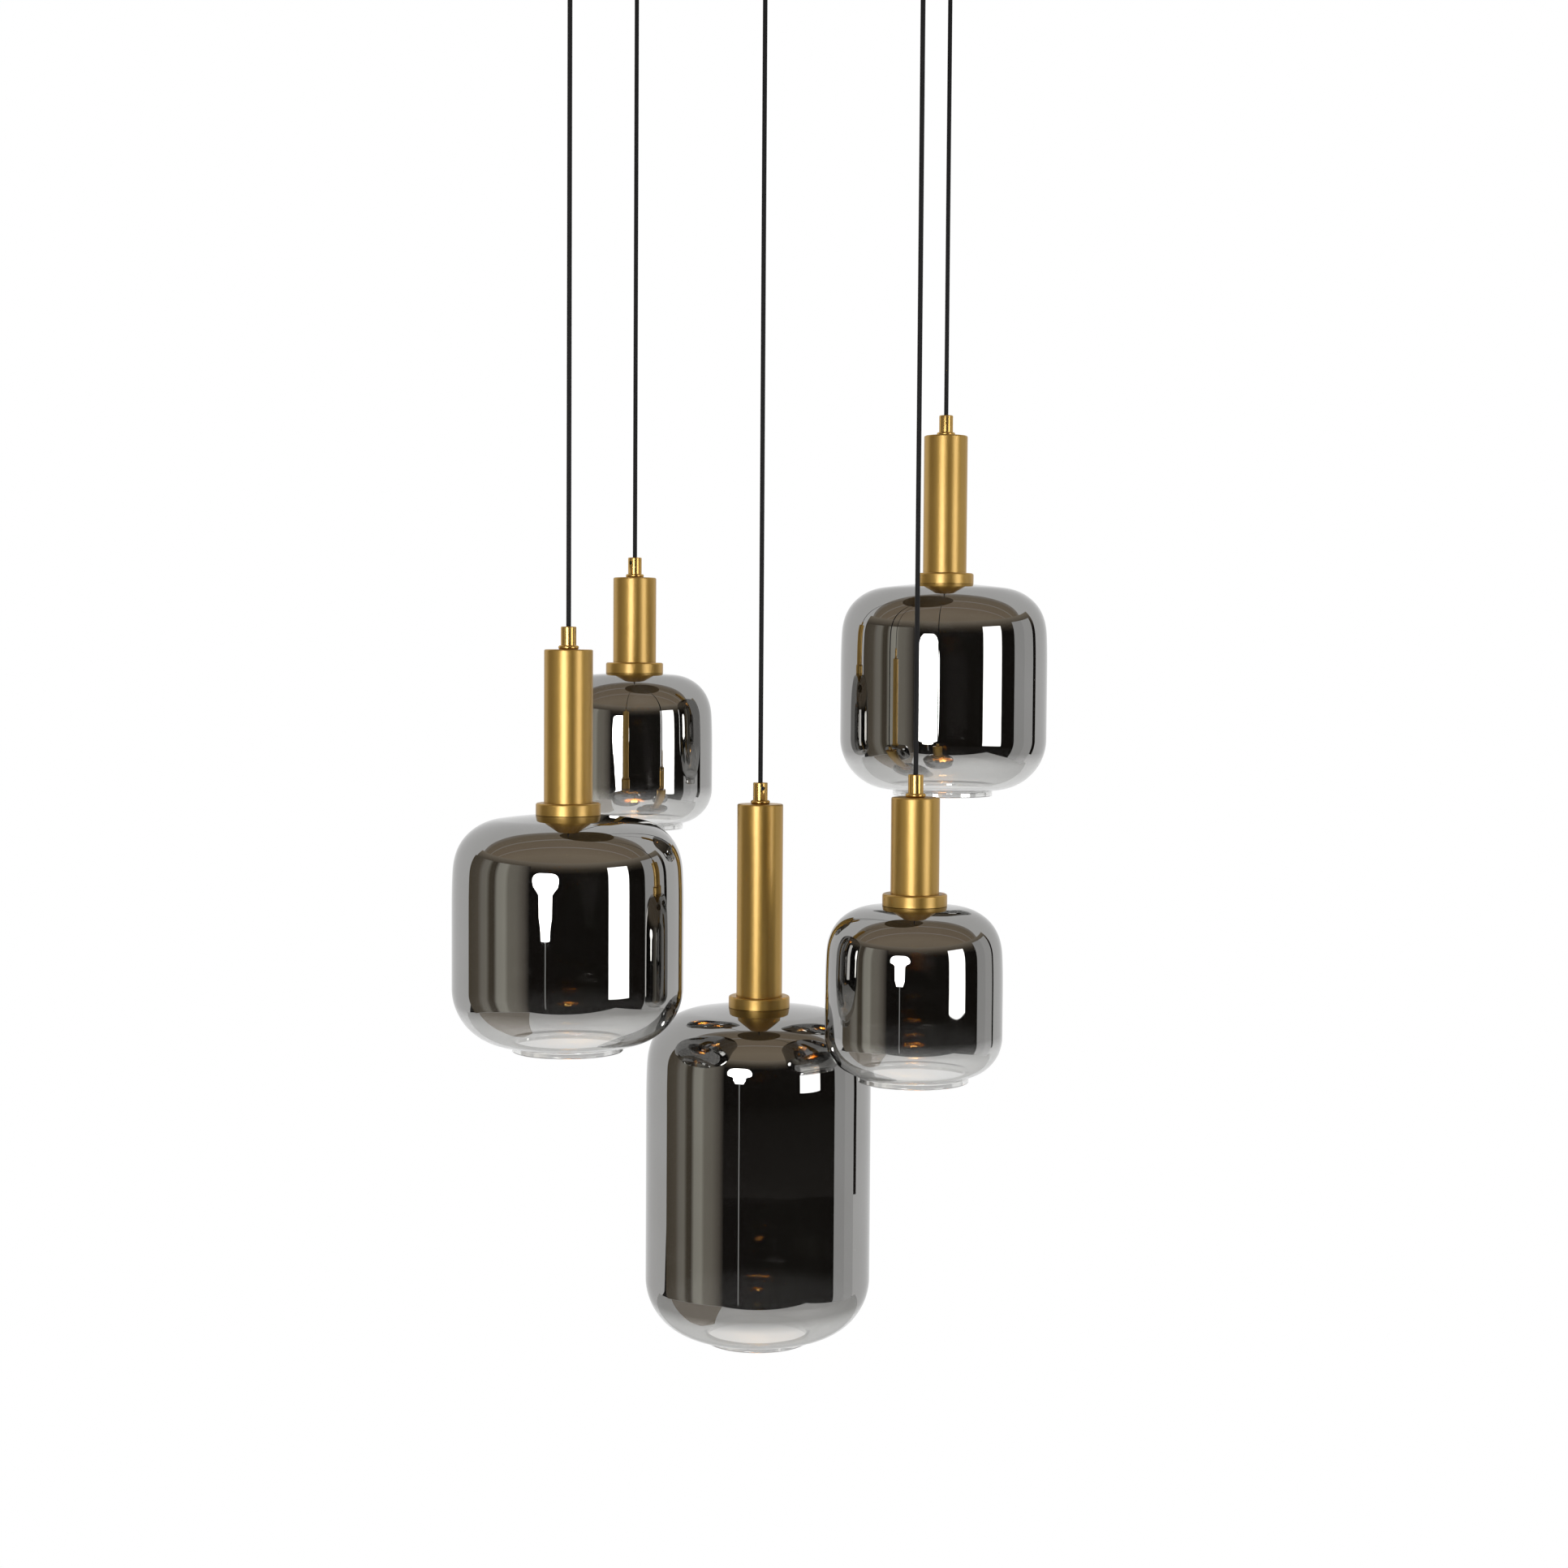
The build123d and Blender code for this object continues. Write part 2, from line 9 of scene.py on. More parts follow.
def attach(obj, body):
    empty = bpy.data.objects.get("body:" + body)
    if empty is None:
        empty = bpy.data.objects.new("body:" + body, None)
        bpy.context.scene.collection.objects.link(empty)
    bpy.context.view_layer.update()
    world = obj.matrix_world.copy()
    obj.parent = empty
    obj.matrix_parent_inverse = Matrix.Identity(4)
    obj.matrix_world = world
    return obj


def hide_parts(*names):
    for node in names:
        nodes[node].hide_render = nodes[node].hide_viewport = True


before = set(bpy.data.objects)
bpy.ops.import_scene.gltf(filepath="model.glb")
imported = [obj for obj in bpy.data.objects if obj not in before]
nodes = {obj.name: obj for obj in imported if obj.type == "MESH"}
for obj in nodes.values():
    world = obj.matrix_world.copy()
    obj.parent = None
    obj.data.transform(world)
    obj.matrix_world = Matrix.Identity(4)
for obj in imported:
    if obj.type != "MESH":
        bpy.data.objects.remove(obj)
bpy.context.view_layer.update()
mm = 0.001  # the object's sizes are in millimetres, as a maker writes them; the studio's are in metres
print("frame loaded:", len(nodes), "nodes")


# Camera, at the height of the shortest drops' shades
cameraSizes = {"place": (23.1, -2385.0, -777.0), "down": 2.9, "roll": 0.38, "lens": 55.9, "sensor": 36.0}


def addCamera(sizes):
    data = bpy.data.cameras.new("viewCamera")
    data.lens = sizes["lens"]
    data.sensor_width = sizes["sensor"]
    data.clip_end = 50
    thing = bpy.data.objects.new("viewCamera", data)
    bpy.context.scene.collection.objects.link(thing)
    place = Matrix.Translation([value * mm for value in sizes["place"]])
    tilt = Matrix.Rotation(radians(90 - sizes["down"]), 4, "X")
    lean = Matrix.Rotation(radians(sizes["roll"]), 4, "Z")
    thing.matrix_world = place @ tilt @ lean
    bpy.context.scene.camera = thing


addCamera(cameraSizes)
print("camera placed")


# What every drop is made of, and where it hangs
shadeKinds = {
    "broad": {"tube": 141.5, "girth": 107.0, "height": 219.0, "shoulder": 49.0, "tuck": 0.0},
    "small": {"tube": 89.0, "girth": 82.2, "height": 163.0, "shoulder": 44.0, "tuck": 8.5},
    "tall": {"tube": 189.0, "girth": 110.8, "height": 331.0, "shoulder": 52.0, "tuck": 0.0},
}
drops = {
    "front_left": {"reach": 223.9, "bearing": 218.1, "drop": 705.0, "kind": "broad"},
    "front_right": {"reach": 203.4, "bearing": 315.3, "drop": 839.0, "kind": "small"},
    "back_left": {"reach": 226.6, "bearing": 126.6, "drop": 628.0, "kind": "small"},
    "back_right": {"reach": 238.8, "bearing": 38.0, "drop": 481.0, "kind": "broad"},
    "centre": {"reach": 0.0, "bearing": 0.0, "drop": 854.5, "kind": "tall"},
}
canopySizes = {"radius": 259.8, "depth": 42.0, "wall": 1.2, "edge": 5.0}
gripSizes = {"height": 17.3, "bead": 3.7}
tubeSizes = {"radius": 22.5, "wall": 1.2, "cap": 2.0, "edge": 1.5, "hole": 5.02, "tail": 1.0}
collarSizes = {"radius": 30.0, "inner": 22.6, "height": 11.5, "edge": 2.0, "foot": 0.5}
glassSizes = {
    "wall": 2.6, "dome": 450.0, "land": 31.0, "mouth": 51.5, "lip": 4.0, "throat": 2.5,
    "lipEdge": 0.8, "hole": 22.7, "ease": 0.55, "lean": 3.2, "leanRun": 42.0, "leanRise": 34.0,
}
ringSizes = {"radius": 30.0, "inner": 22.6, "height": 6.0, "edge": 0.8}
lampSizes = {
    "base": 7.2, "baseHeight": 6.0, "radius": 8.0, "height": 46.0, "tip": 2.0,
    "pin": 0.8, "pinPitch": 9.0, "pinLength": 9.0, "flat": 0.1,
}
cordSizes = {"diameter": 4.5, "top": -50.3, "seat": 6.0, "nearEnd": 27.0}
holderHeight = 24.0
lampGap = 0.3  # between the lamp and its holder
roundHandle = 0.5523  # handle length, as a share of the radius, that bends a cubic curve like a circle


def spotOf(drop):
    angle = radians(drop["bearing"])
    return np.array([drop["reach"] * cos(angle), drop["reach"] * sin(angle)])


def levelsOf(drop):
    kind = shadeKinds[drop["kind"]]
    gripTop = -canopySizes["depth"] - drop["drop"]
    tubeTop = gripTop - gripSizes["height"] - gripSizes["bead"]
    collarTop = tubeTop - kind["tube"]
    seat = collarTop - collarSizes["height"]
    holderFoot = seat - lampSizes["tip"] + lampSizes["height"] + lampGap
    return {
        "gripTop": gripTop, "tubeTop": tubeTop, "collarTop": collarTop, "seat": seat,
        "holderFoot": holderFoot, "holderTop": holderFoot + holderHeight,
    }


# Cords: one straight run each, with a control point near either end
def addCord(name, drop):
    levels = levelsOf(drop)
    x, y = spotOf(drop) * mm
    top = cordSizes["top"]
    foot = levels["holderTop"] - cordSizes["seat"]
    heights = [top, top - cordSizes["nearEnd"], foot + cordSizes["nearEnd"], foot]
    data = bpy.data.curves.new(f"cordLine_{name}", "CURVE")
    data.dimensions = "3D"
    data.bevel_depth = 1.0  # times the radius kept at each point, which the curve's box also counts
    data.bevel_resolution = 8
    data.use_fill_caps = True
    spline = data.splines.new("NURBS")
    spline.points.add(len(heights) - 1)
    for point, height in zip(spline.points, heights):
        point.co = (x, y, height * mm, 1)
        point.radius = cordSizes["diameter"] / 2 * mm
    spline.order_u = 3
    spline.use_endpoint_u = True
    thing = bpy.data.objects.new(f"blackCord_{name}", data)
    bpy.context.scene.collection.objects.link(thing)
    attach(thing, f"drop_{name}")
    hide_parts(f"cord_{name}")
    return thing


cords = [addCord(name, drop) for name, drop in drops.items()]
print("cords hung:", len(cords))


# Profiles: arrays of (radius, height) pairs
def arcRun(centre, radius, start, end, step=2.0):
    # points on a circle round centre, from one angle in degrees to another, a few degrees apart
    count = max(3, int(abs(end - start) / step) + 2)
    angle = np.radians(np.linspace(start, end, count))
    return np.stack([centre[0] + radius * np.cos(angle), centre[1] + radius * np.sin(angle)], 1)


def straightRun(start, end, near=0.35):
    # a straight line with extra points just inside its ends, so that smooth shading stays flat between them
    start, end = np.array(start, float), np.array(end, float)
    length = np.linalg.norm(end - start)
    share = min(near / max(length, 1e-6), 0.3)
    place = np.array([0, share, 0.5, 1 - share, 1])[:, None]
    return start + (end - start) * place


def joinRuns(*runs):
    # runs one after another, with points that repeat left out
    points = np.concatenate(runs)
    step = np.linalg.norm(np.diff(points, axis=0), axis=1)
    return points[np.concatenate([[True], step > 1e-4])]


def easedRun(start, startTurn, end, endTurn, count=40):
    # a cubic curve: leaves start along startTurn and arrives at end along endTurn, as two handles pull it
    t = np.linspace(0, 1, count)[:, None]
    start, end = np.array(start, float), np.array(end, float)
    first, second = start + startTurn, end - endTurn
    return (1 - t) ** 3 * start + 3 * t * (1 - t) ** 2 * first + 3 * t**2 * (1 - t) * second + t**3 * end


def unwrap(mesh, vertices, spot):
    # across: the angle round the axis as a share of a turn, carried past 1 on faces over the seam; up:
    # the height above the lowest point, in tenths of a metre
    corner = np.zeros(len(mesh.loops), np.int32)
    mesh.loops.foreach_get("vertex_index", corner)
    starts = np.zeros(len(mesh.polygons), np.int32)
    mesh.polygons.foreach_get("loop_start", starts)
    place = vertices[corner]
    turn = np.arctan2(place[:, 1] - spot[1], place[:, 0] - spot[0]) / (2 * pi) % 1
    widest = np.repeat(np.maximum.reduceat(turn, starts), np.diff(np.append(starts, len(corner))))
    turn = turn + (widest - turn > 0.5)
    rise = (place[:, 2] - vertices[:, 2].min()) / 100
    layer = mesh.uv_layers.new(name="turned")
    layer.data.foreach_set("uv", np.stack([turn, rise], 1).astype(np.float32).ravel())


def turnedMesh(name, spot, profile, turns=160, loop=True, materials=None, slotOf=None):
    # each point of the profile is carried round the upright axis through spot as a circle, and
    # neighbouring circles are joined by four-sided faces; a point on the axis stays one point, and a
    # profile that runs up an outer side gives faces that point outwards
    profile = np.asarray(profile, float)
    count = len(profile)
    around = np.linspace(0, 2 * pi, turns, endpoint=False)
    onAxis = profile[:, 0] < 1e-6
    perRow = np.where(onAxis, 1, turns)
    first = np.concatenate([[0], np.cumsum(perRow)[:-1]])
    index = first[:, None] + np.where(onAxis[:, None], 0, np.arange(turns)[None, :])
    x = spot[0] + profile[:, :1] * np.cos(around)
    y = spot[1] + profile[:, :1] * np.sin(around)
    z = np.repeat(profile[:, 1:], turns, 1)
    grid = np.stack([x, y, z], 2).reshape(-1, 3)
    vertices = np.zeros((perRow.sum(), 3))
    vertices[index.reshape(-1)] = grid
    rows = np.arange(count if loop else count - 1)
    after = (rows + 1) % count
    a, b = index[rows], index[after]
    faces = np.stack([a, np.roll(a, -1, 1), np.roll(b, -1, 1), b], 2).reshape(-1, 4)
    rowOfFace = np.repeat(rows, turns)
    faceList = [list(dict.fromkeys(face)) for face in faces.tolist()]
    mesh = bpy.data.meshes.new(name)
    mesh.from_pydata((vertices * mm).tolist(), [], faceList)
    if slotOf is not None:
        mesh.polygons.foreach_set("material_index", slotOf(rowOfFace).astype(np.int32))
    mesh.update()
    unwrap(mesh, vertices, spot)
    mesh.shade_smooth()
    mesh.set_sharp_from_angle(angle=radians(32))
    thing = bpy.data.objects.new(name, mesh)
    bpy.context.scene.collection.objects.link(thing)
    for material in materials or []:
        mesh.materials.append(material)
    return thing


def dress(thing, body, slotName, *replaced):
    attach(thing, body)
    if replaced:
        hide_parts(*replaced)
    return thing


# Materials
def newMaterial(name, settings):
    material = bpy.data.materials.new(name)
    material.use_nodes = True
    shader = material.node_tree.nodes["Principled BSDF"]
    for socket, value in settings.items():
        shader.inputs[socket].default_value = value
    return material, material.node_tree, shader


def addNode(tree, kind, **values):
    node = tree.nodes.new(kind)
    for key, value in values.items():
        if key in node.inputs:
            node.inputs[key].default_value = value
        else:
            setattr(node, key, value)
    return node


def objectCoordinates(tree, scale=(1, 1, 1)):
    coordinates = tree.nodes.new("ShaderNodeTexCoord")
    mapping = addNode(tree, "ShaderNodeMapping", Scale=scale)
    tree.links.new(coordinates.outputs["Object"], mapping.inputs["Vector"])
    return mapping.outputs["Vector"]


def addBump(tree, shader, height, strength, distance):
    bump = addNode(tree, "ShaderNodeBump", Strength=strength, Distance=distance)
    tree.links.new(height, bump.inputs["Height"])
    tree.links.new(bump.outputs["Normal"], shader.inputs["Normal"])


def rampOf(tree, value, stops):
    ramp = tree.nodes.new("ShaderNodeValToRGB")
    while len(ramp.color_ramp.elements) < len(stops):
        ramp.color_ramp.elements.new(0.5)
    for element, (place, colour) in zip(ramp.color_ramp.elements, stops):
        element.position = place
        element.color = (*colour, 1)
    tree.links.new(value, ramp.inputs["Fac"])
    return ramp


def brassMaterial(name, colour, dark, roughness, ringDepth, brushed=0.0, speckle=0.03, lacquer=0.0):
    # brushed round the axis: light spreads up and down, over fine rings by height and a slow cloud of tone;
    # a clear lacquer over it gives the paler highlights
    material, tree, shader = newMaterial(name, {
        "Metallic": 1.0, "Roughness": roughness, "Base Color": (*colour, 1), "Anisotropic": brushed,
        "Anisotropic Rotation": 0.25, "Specular Tint": (0.5, 0.42, 0.3, 1),
        "Coat Weight": lacquer, "Coat Roughness": 0.3, "Coat IOR": 1.6,
    })
    rings = addNode(tree, "ShaderNodeTexNoise", Scale=1.0, Detail=2.0, Roughness=0.5)
    tree.links.new(objectCoordinates(tree, (20, 20, 900)), rings.inputs["Vector"])
    cloud = addNode(tree, "ShaderNodeTexNoise", Scale=25.0, Detail=3.0)
    tree.links.new(objectCoordinates(tree), cloud.inputs["Vector"])
    tone = rampOf(tree, cloud.outputs["Fac"], [(0.3, dark), (0.7, colour)])
    tree.links.new(tone.outputs["Color"], shader.inputs["Base Color"])
    spread = addNode(tree, "ShaderNodeMapRange")
    spread.inputs["To Min"].default_value = roughness - speckle
    spread.inputs["To Max"].default_value = roughness + speckle
    tree.links.new(rings.outputs["Fac"], spread.inputs["Value"])
    tree.links.new(spread.outputs["Result"], shader.inputs["Roughness"])
    addBump(tree, shader, rings.outputs["Fac"], 0.2, ringDepth * mm)
    return material


def glassMaterial():
    material, tree, shader = newMaterial("clearGlass", {
        "Base Color": (0.92, 0.92, 0.915, 1), "Roughness": 0.0, "IOR": 1.48, "Transmission Weight": 1.0,
    })
    waves = addNode(tree, "ShaderNodeTexNoise", Scale=1.0, Detail=1.5)
    tree.links.new(objectCoordinates(tree, (14, 14, 9)), waves.inputs["Vector"])
    addBump(tree, shader, waves.outputs["Fac"], 0.3, 0.15 * mm)
    return material


def mirrorMaterial():
    # thin grey metal film on the outside of the glass, a little uneven, that lets some light through
    # and thins out over the last few centimetres above the mouth
    material, tree, shader = newMaterial("smokedMirror", {
        "Base Color": (0.32, 0.317, 0.31, 1), "Metallic": 0.94, "Roughness": 0.01, "IOR": 1.48,
        "Transmission Weight": 1.0, "Specular Tint": (0.8, 0.8, 0.8, 1),
    })
    cloud = addNode(tree, "ShaderNodeTexNoise", Scale=9.0, Detail=3.0)
    tree.links.new(objectCoordinates(tree), cloud.inputs["Vector"])
    tone = rampOf(tree, cloud.outputs["Fac"], [(0.3, (0.31, 0.305, 0.295)), (0.7, (0.34, 0.337, 0.33))])
    unwrapped = tree.nodes.new("ShaderNodeUVMap")
    unwrapped.uv_map = "turned"
    split = tree.nodes.new("ShaderNodeSeparateXYZ")
    tree.links.new(unwrapped.outputs["UV"], split.inputs["Vector"])
    film = rampOf(tree, split.outputs["Y"], [
        (0.0, (0.2,) * 3), (0.08, (0.35,) * 3), (0.33, (0.52,) * 3), (0.46, (0.93,) * 3),
    ])
    tree.links.new(film.outputs["Color"], shader.inputs["Metallic"])
    clear = rampOf(tree, split.outputs["Y"], [
        (0.0, (0.8,) * 3), (0.08, (0.72,) * 3), (0.33, (0.55,) * 3), (0.46, (0.0,) * 3),
    ])
    blend = addNode(tree, "ShaderNodeMix", data_type="RGBA")
    blend.inputs["B"].default_value = (0.94, 0.94, 0.93, 1)
    tree.links.new(clear.outputs["Color"], blend.inputs["Factor"])
    tree.links.new(tone.outputs["Color"], blend.inputs["A"])
    tree.links.new(blend.outputs["Result"], shader.inputs["Base Color"])
    waves = addNode(tree, "ShaderNodeTexNoise", Scale=1.0, Detail=2.0)
    tree.links.new(objectCoordinates(tree, (18, 18, 26)), waves.inputs["Vector"])
    addBump(tree, shader, waves.outputs["Fac"], 0.25, 0.1 * mm)
    return material


def plainMaterial(name, colour, roughness, metallic=0.0, grain=400.0, depth=0.02, extra=None):
    # a body colour with a slow change of tone and a fine grain in its surface
    material, tree, shader = newMaterial(name, {
        "Base Color": (*colour, 1), "Roughness": roughness, "Metallic": metallic, **(extra or {}),
    })
    cloud = addNode(tree, "ShaderNodeTexNoise", Scale=60.0, Detail=4.0)
    tree.links.new(objectCoordinates(tree), cloud.inputs["Vector"])
    darker = tuple(channel * 0.82 for channel in colour)
    tone = rampOf(tree, cloud.outputs["Fac"], [(0.35, darker), (0.6, colour)])
    tree.links.new(tone.outputs["Color"], shader.inputs["Base Color"])
    fine = addNode(tree, "ShaderNodeTexNoise", Scale=grain, Detail=2.0)
    tree.links.new(objectCoordinates(tree), fine.inputs["Vector"])
    addBump(tree, shader, fine.outputs["Fac"], 0.4, depth * mm)
    return material


def lampMaterial():
    # warm capsule, its glow a little uneven in tone from place to place
    material, tree, shader = newMaterial("warmLamp", {
        "Base Color": (1.0, 0.78, 0.5, 1), "Roughness": 0.35, "Emission Strength": 2400.0,
    })
    cloud = addNode(tree, "ShaderNodeTexNoise", Scale=120.0, Detail=2.0)
    tree.links.new(objectCoordinates(tree), cloud.inputs["Vector"])
    tone = rampOf(tree, cloud.outputs["Fac"], [(0.35, (1.0, 0.5, 0.12)), (0.65, (1.0, 0.62, 0.2))])
    tree.links.new(tone.outputs["Color"], shader.inputs["Emission Color"])
    return material


clearGlass = glassMaterial()
smokedMirror = mirrorMaterial()
satinBrass = brassMaterial(
    "satinBrass", (0.5, 0.308, 0.07), (0.478, 0.292, 0.064), 0.42, ringDepth=0.0004, brushed=0.15, speckle=0.008,
    lacquer=0.6,
)
polishedBrass = brassMaterial(
    "polishedBrass", (0.56, 0.345, 0.095), (0.54, 0.33, 0.088), 0.26, ringDepth=0.0003, speckle=0.008, lacquer=0.4,
)
# dark bronze finish, made darker still as painted shade: the dim light under the canopy, which the shades reflect, is
# put into its colour
bronzeWithPaintedShade = brassMaterial("bronzeWithPaintedShade", (0.15, 0.105, 0.055), (0.12, 0.083, 0.042), 0.38, ringDepth=0.003)
blackSheath = plainMaterial(
    "blackSheath", (0.007, 0.007, 0.008), 0.6, grain=150.0, depth=0.001, extra={"Specular IOR Level": 0.2},
)
zincSteel = plainMaterial("zincSteel", (0.62, 0.62, 0.60), 0.34, metallic=1.0, grain=700.0)
darkSteel = plainMaterial("darkSteel", (0.10, 0.10, 0.11), 0.4, metallic=1.0, grain=900.0)
whiteCeramic = plainMaterial("whiteCeramic", (0.84, 0.83, 0.79), 0.22, grain=250.0, depth=0.03)
whitePlastic = plainMaterial("whitePlastic", (0.82, 0.81, 0.77), 0.5, grain=500.0)
warmLamp = lampMaterial()
print("materials made")


# Shade: outside as blown in its mould and coated; inside eased at the shoulder, where the glass is thicker
def softened(points, shoulderEnd):
    # blown glass draws in where the side turns into the shoulder: below shoulderEnd by lean * run / 3 *
    # (1 - depth / run) cubed, and above it by a cubic curve that carries on from there and comes to nothing
    run, rise = glassSizes["leanRun"], glassSizes["leanRise"]
    slope = radians(glassSizes["lean"])
    most = slope * run / 3
    depth = np.clip((shoulderEnd - points[:, 1]) / run, 0, 1)
    above = np.clip((points[:, 1] - shoulderEnd) / rise, 0, 1)
    below = most * (1 - depth) ** 3
    carried = most * (2 * above**3 - 3 * above**2 + 1) + slope * rise * (above**3 - 2 * above**2 + above)
    drawn = np.where(points[:, 1] < shoulderEnd, below, carried)
    return np.stack([points[:, 0] - drawn, points[:, 1]], 1)


def shadeProfile(kind, inset, ease):
    # half outline from the hole out: flat land, dome, shoulder, straight side, round base, hollow
    # throat and lip, as arcs that touch each other; ease lowers the end of the inner shoulder
    glass = glassSizes
    girth = kind["girth"] - inset
    dome = glass["dome"] - inset
    shoulder = kind["shoulder"] - inset
    throatCentre = glass["mouth"] + glass["throat"]
    base = kind["girth"] - throatCentre + kind["tuck"] - inset
    throat = glass["throat"] + inset
    domeHeight = -sqrt(glass["dome"] ** 2 - glass["land"] ** 2)
    shoulderRise = sqrt((dome - shoulder) ** 2 - (girth - shoulder) ** 2)
    shoulderCentre = (girth - shoulder, domeHeight + shoulderRise)
    throatLevel = glass["lip"] - kind["height"]
    baseCentre = (girth - base, throatLevel + sqrt((base + throat) ** 2 - kind["tuck"] ** 2))
    startAngle = degrees(atan2(-inset - domeHeight, glass["land"]))
    tangentAngle = degrees(atan2(shoulderRise, shoulderCentre[0]))
    baseAngle = degrees(atan2(throatLevel - baseCentre[1], throatCentre - baseCentre[0]))
    cap = arcRun((0, domeHeight), dome, startAngle, tangentAngle, 0.5)
    if ease:
        drop = kind["shoulder"] * ease
        endPoint = np.array([girth, shoulderCentre[1] - drop])
        slope = radians(tangentAngle)
        width = endPoint[0] - cap[-1][0]
        fall = cap[-1][1] - endPoint[1]
        leave = np.array([sin(slope), -cos(slope)]) * width * roundHandle
        turn = easedRun(cap[-1], leave, endPoint, np.array([0, -fall * roundHandle]), 60)
    else:
        turn = arcRun(shoulderCentre, shoulder, tangentAngle, 0, 1.5)
    sideDepth = np.linspace(turn[-1][1], baseCentre[1], 50)
    side = np.stack([np.full_like(sideDepth, girth), sideDepth], 1)
    bowl = arcRun(baseCentre, base, 0, baseAngle, 1.5)
    hollow = arcRun((throatCentre, throatLevel), throat, 180 + baseAngle, 180, 6.0)
    land = straightRun((glass["hole"], -inset), cap[0])
    whole = joinRuns(land, cap, turn, side, bowl, hollow)
    return softened(whole, domeHeight + shoulderRise) if not ease else whole


def addShade(name, drop):
    kind = shadeKinds[drop["kind"]]
    glass = glassSizes
    outside = shadeProfile(kind, 0.0, 0.0)
    inside = shadeProfile(kind, glass["wall"], glass["ease"])
    foot = -kind["height"]
    edge = glass["lipEdge"]
    lipIn = glass["mouth"] - glass["wall"]
    lip = joinRuns(
        straightRun(outside[-1], (glass["mouth"], foot + edge)),
        arcRun((glass["mouth"] - edge, foot + edge), edge, 0, -90, 15),
        arcRun((lipIn + edge, foot + edge), edge, -90, -180, 15),
        straightRun((lipIn, foot + edge), inside[-1]),
    )
    profile = joinRuns(outside, lip[1:-1], inside[::-1])
    outerCount = len(outside) + len(lip) - 2
    profile[:, 1] += levelsOf(drop)["seat"]
    lastRow = len(profile) - 1

    def coatRows(rows):
        # the profile runs down the outside and up the inside, and is turned the other way round
        return np.where(lastRow - 1 - rows < outerCount, 1, 0)

    thing = turnedMesh(
        f"mirrorShade_{name}", spotOf(drop), profile[::-1], 144, True, [clearGlass, smokedMirror], coatRows,
    )
    return dress(thing, f"pendant_{name}", "smoked_mirror", f"shade_{name}")


# Brass tube with a closed top, and the collar that rests on the glass
def addTube(name, drop):
    sizes, levels = tubeSizes, levelsOf(drop)
    radius, edge, top = sizes["radius"], sizes["edge"], levels["tubeTop"]
    foot = levels["seat"] - glassSizes["wall"] - ringSizes["height"] - sizes["tail"]
    inner = radius - sizes["wall"]
    profile = joinRuns(
        straightRun((sizes["hole"], top), (radius - edge, top)),
        arcRun((radius - edge, top - edge), edge, 90, 0, 10),
        straightRun((radius, top - edge), (radius, foot)),
        straightRun((radius, foot), (inner, foot)),
        straightRun((inner, foot), (inner, top - sizes["cap"])),
        straightRun((inner, top - sizes["cap"]), (sizes["hole"], top - sizes["cap"])),
    )
    thing = turnedMesh(f"brassTube_{name}", spotOf(drop), profile[::-1], 128, True, [satinBrass])
    return dress(thing, f"pendant_{name}", "satin_brass", f"tube_{name}")


def addCollar(name, drop):
    sizes, seat = collarSizes, levelsOf(drop)["seat"]
    radius, inner, edge, foot = sizes["radius"], sizes["inner"], sizes["edge"], sizes["foot"]
    top = seat + sizes["height"]
    profile = joinRuns(
        straightRun((inner, top), (radius - edge, top)),
        arcRun((radius - edge, top - edge), edge, 90, 0, 8),
        straightRun((radius, top - edge), (radius, seat + foot)),
        arcRun((radius - foot, seat + foot), foot, 0, -90, 15),
        straightRun((radius - foot, seat), (inner, seat)),
        straightRun((inner, seat), (inner, top)),
    )
    thing = turnedMesh(f"brassCollar_{name}", spotOf(drop), profile[:-1][::-1], 128, True, [satinBrass])
    return dress(thing, f"pendant_{name}", "satin_brass", f"collar_{name}")


def addRing(name, drop):
    sizes = ringSizes
    top = levelsOf(drop)["seat"] - glassSizes["wall"]
    foot, radius, inner, edge = top - sizes["height"], sizes["radius"], sizes["inner"], sizes["edge"]
    profile = joinRuns(
        straightRun((inner, top), (radius, top)),
        straightRun((radius, top), (radius, foot + edge)),
        straightRun((radius, foot + edge), (radius - edge, foot)),
        straightRun((radius - edge, foot), (inner, foot)),
        straightRun((inner, foot), (inner, top)),
    )
    thing = turnedMesh(f"clampRing_{name}", spotOf(drop), profile[:-1][::-1], 96, True, [satinBrass])
    return dress(thing, f"pendant_{name}", "satin_brass", f"shade_ring_{name}")


